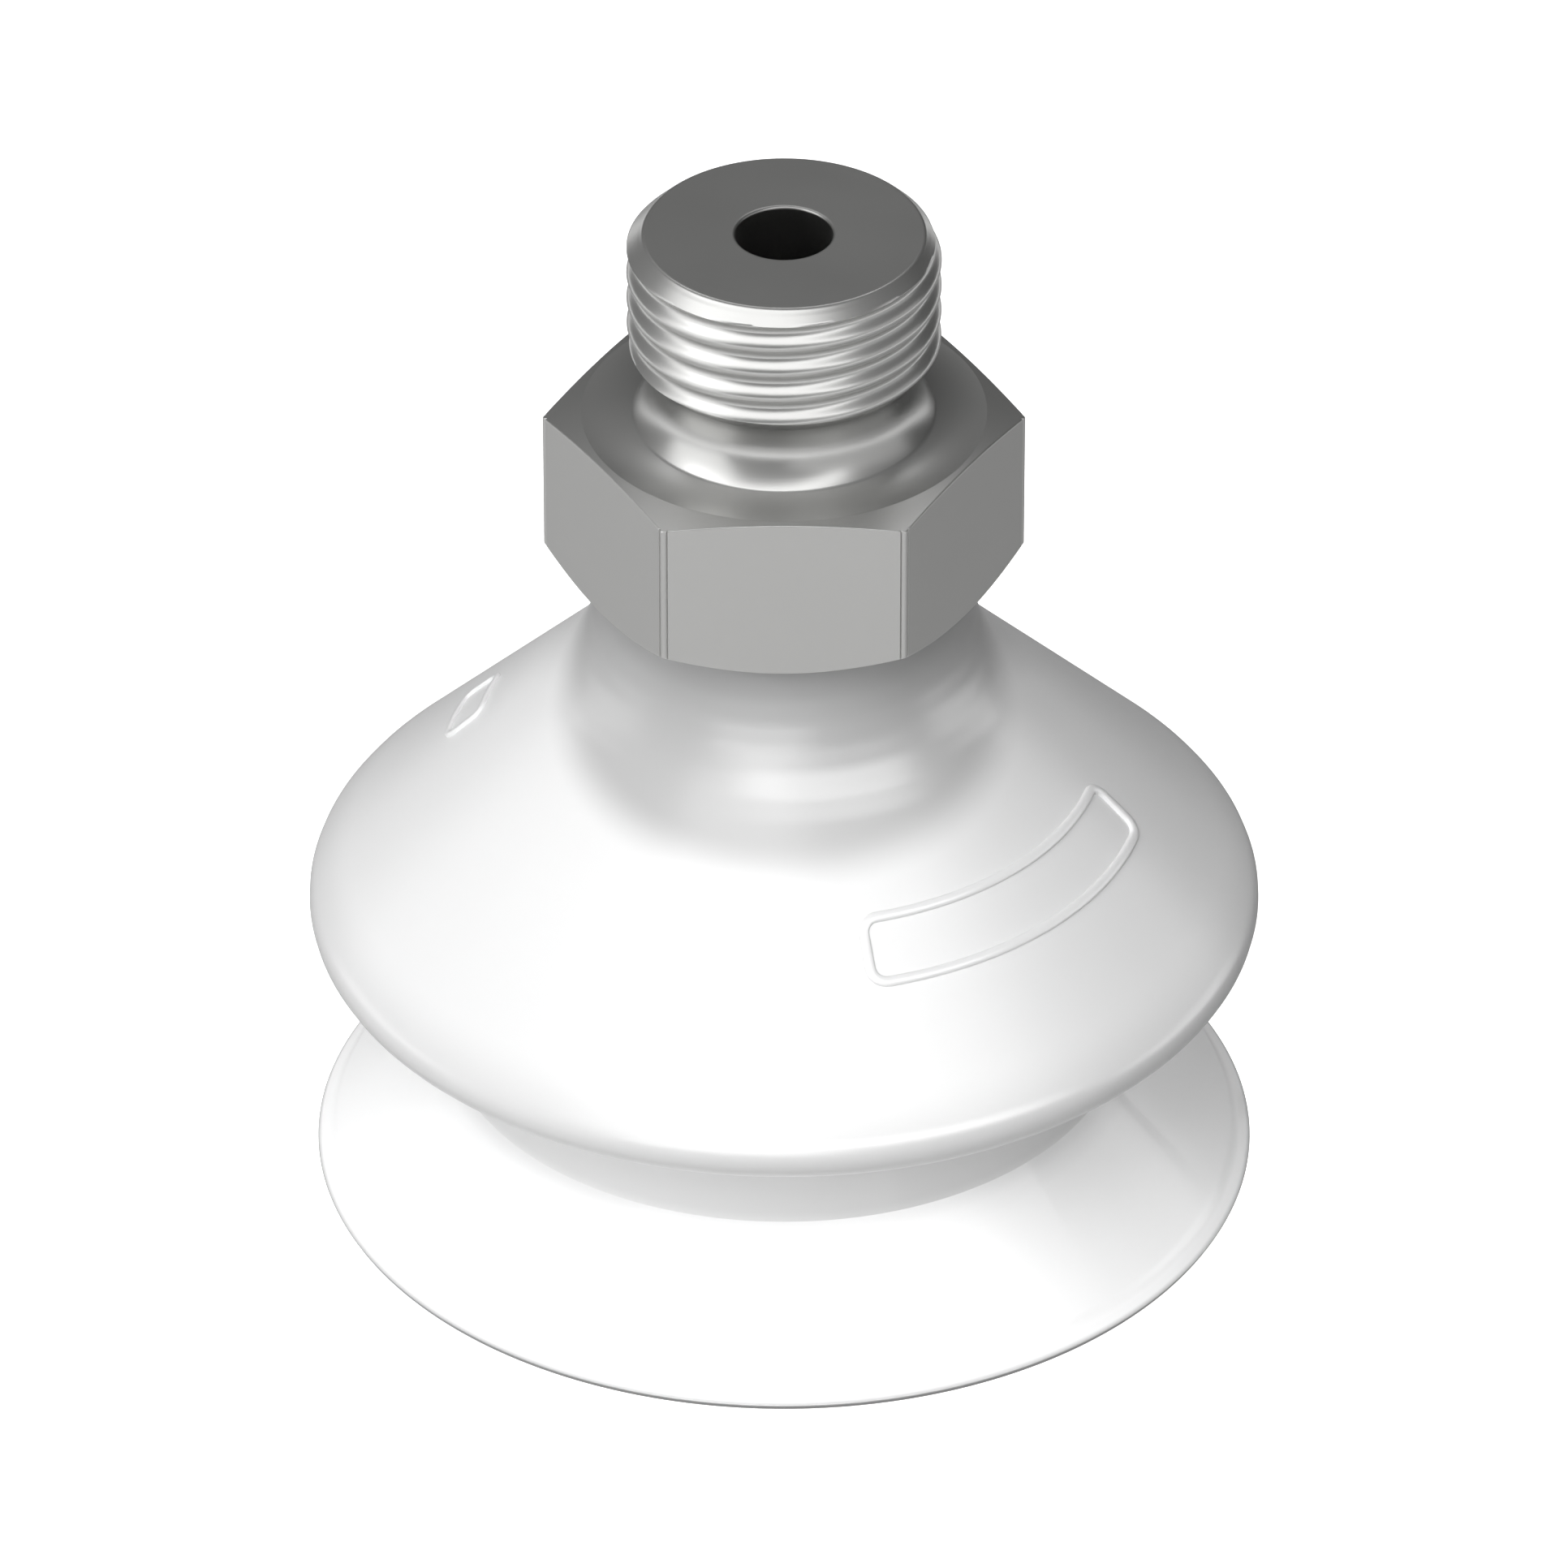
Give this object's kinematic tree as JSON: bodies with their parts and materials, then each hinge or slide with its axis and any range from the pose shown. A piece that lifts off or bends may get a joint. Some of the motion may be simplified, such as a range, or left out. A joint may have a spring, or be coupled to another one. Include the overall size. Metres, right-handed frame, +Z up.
{
  "type": "bellows vacuum suction cup",
  "caption": "Silicone bellows suction cup on a threaded holder: it grips, cushions and levels onto a part held by vacuum.",
  "frame": {"origin": "centre of the lip's sealing plane, on the vacuum bore's axis", "axes": "+Z up the vacuum bore, from the lip to the threaded end; the hexagon has two flats square to Y"},
  "size_m": [0.03, 0.03, 0.034],
  "materials": {
    "holder_metal": "turned and milled, satin",
    "silicone": "smooth moulded silicone, slightly translucent white"
  },
  "bodies": {
    "holder": {"threaded_holder": "holder_metal"},
    "neck": {"cup_neck": "silicone"},
    "crest": {"cup_crest": "silicone", "cup_upper_wall": "silicone"},
    "waist": {"cup_waist": "silicone", "cup_lower_wall": "silicone"},
    "heel": {"cup_heel": "silicone", "cup_band": "silicone"},
    "lip": {"cup_lip": "silicone", "cup_skirt": "silicone"}
  },
  "joints": [
    {"name": "cup_swivel", "type": "hinge", "parent": "holder", "child": "neck", "pos_m": [0, 0, 0.0206], "axis": [0, 0, 1], "continuous": true},
    {"name": "upper_fold_compress", "type": "slide", "parent": "neck", "child": "crest", "axis": [0, 0, 1], "range_m": [0, 0.0046], "stiffness_N_per_m": 600, "deforming": ["cup_upper_wall"]},
    {"name": "lower_fold_compress", "type": "slide", "parent": "crest", "child": "waist", "axis": [0, 0, 1], "range_m": [0, 0.0014], "stiffness_N_per_m": 600, "deforming": ["cup_lower_wall"]},
    {"name": "lip_tilt", "type": "hinge", "parent": "waist", "child": "heel", "pos_m": [0, 0, 0.0053], "axis": [1, 0, 0], "range_deg": [-5, 5], "stiffness_Nm_per_rad": 0.05, "deforming": ["cup_band"]},
    {"name": "lip_flatten", "type": "slide", "parent": "heel", "child": "lip", "axis": [0, 0, 1], "range_m": [0, 0.0019], "stiffness_N_per_m": 600, "deforming": ["cup_skirt"]}
  ],
  "couplings": [
    {"joint": "lower_fold_compress", "follows": "upper_fold_compress", "ratio": 0.3}
  ]
}
